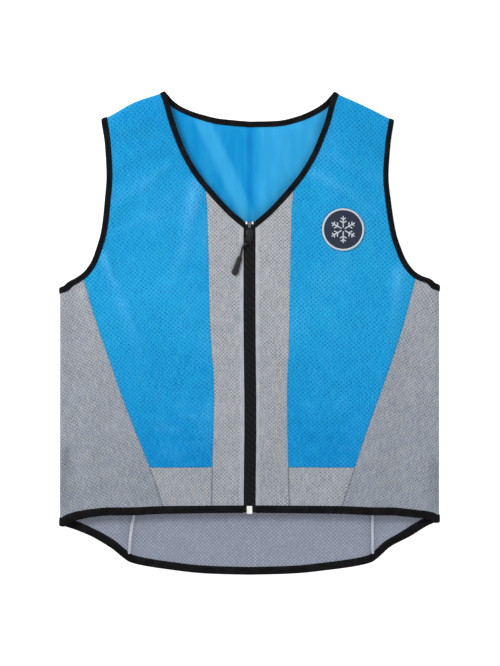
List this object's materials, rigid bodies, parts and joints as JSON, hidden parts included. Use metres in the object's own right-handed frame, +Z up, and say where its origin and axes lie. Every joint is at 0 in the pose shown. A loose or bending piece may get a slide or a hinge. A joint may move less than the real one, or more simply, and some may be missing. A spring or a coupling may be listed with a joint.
{
  "type": "cooling vest",
  "caption": "Sleeveless zip-front vest laid flat: perforated chest and back, mesh strips and sides, bound edges, V neck, dropped tail and a hinged zip pull.",
  "frame": {"origin": "middle of the footprint, on the surface that the vest lies on", "axes": "+X to the wearer's left, +Y from hem to neck, +Z up through the front of the vest"},
  "size_m": [0.5506, 0.6986, 0.0279],
  "materials": {
    "perforated_mesh": "matte perforated knit",
    "grey_mesh": "matte fine mesh",
    "binding": "matte stretch tape",
    "zip_tape": "matte ribbed tape",
    "zip_coil": "satin coil",
    "zip_metal": "satin",
    "zip_slider": "satin black paint",
    "pull_link": "satin black paint",
    "pull_grip": "matte moulded",
    "badge": "matte heat-pressed film"
  },
  "bodies": {
    "vest": {"chest_panel_left": "perforated_mesh", "chest_panel_right": "perforated_mesh", "back_panel": "perforated_mesh", "front_strip_left": "grey_mesh", "front_strip_right": "grey_mesh", "lower_panel_left": "grey_mesh", "lower_panel_right": "grey_mesh", "side_panel_left": "grey_mesh", "side_panel_right": "grey_mesh", "back_tail": "grey_mesh", "back_seam_left": "grey_mesh", "back_seam_right": "grey_mesh", "neck_binding": "binding", "armhole_binding_left": "binding", "armhole_binding_right": "binding", "hem_binding": "binding", "zip_tape_left": "zip_tape", "zip_tape_right": "zip_tape", "zip_coil": "zip_coil", "zip_stop_left": "zip_metal", "zip_stop_right": "zip_metal", "zip_box": "zip_metal", "zip_slider": "zip_slider", "chest_badge": "badge"},
    "zip_pull": {"pull_link": "pull_link", "pull_grip": "pull_grip"}
  },
  "joints": [
    {"name": "pull_hinge", "type": "hinge", "parent": "vest", "child": "zip_pull", "pos_m": [0, 0.1407, 0.01876], "axis": [-0.9455, 0.3256, 0], "range_deg": [0, 150]}
  ]
}
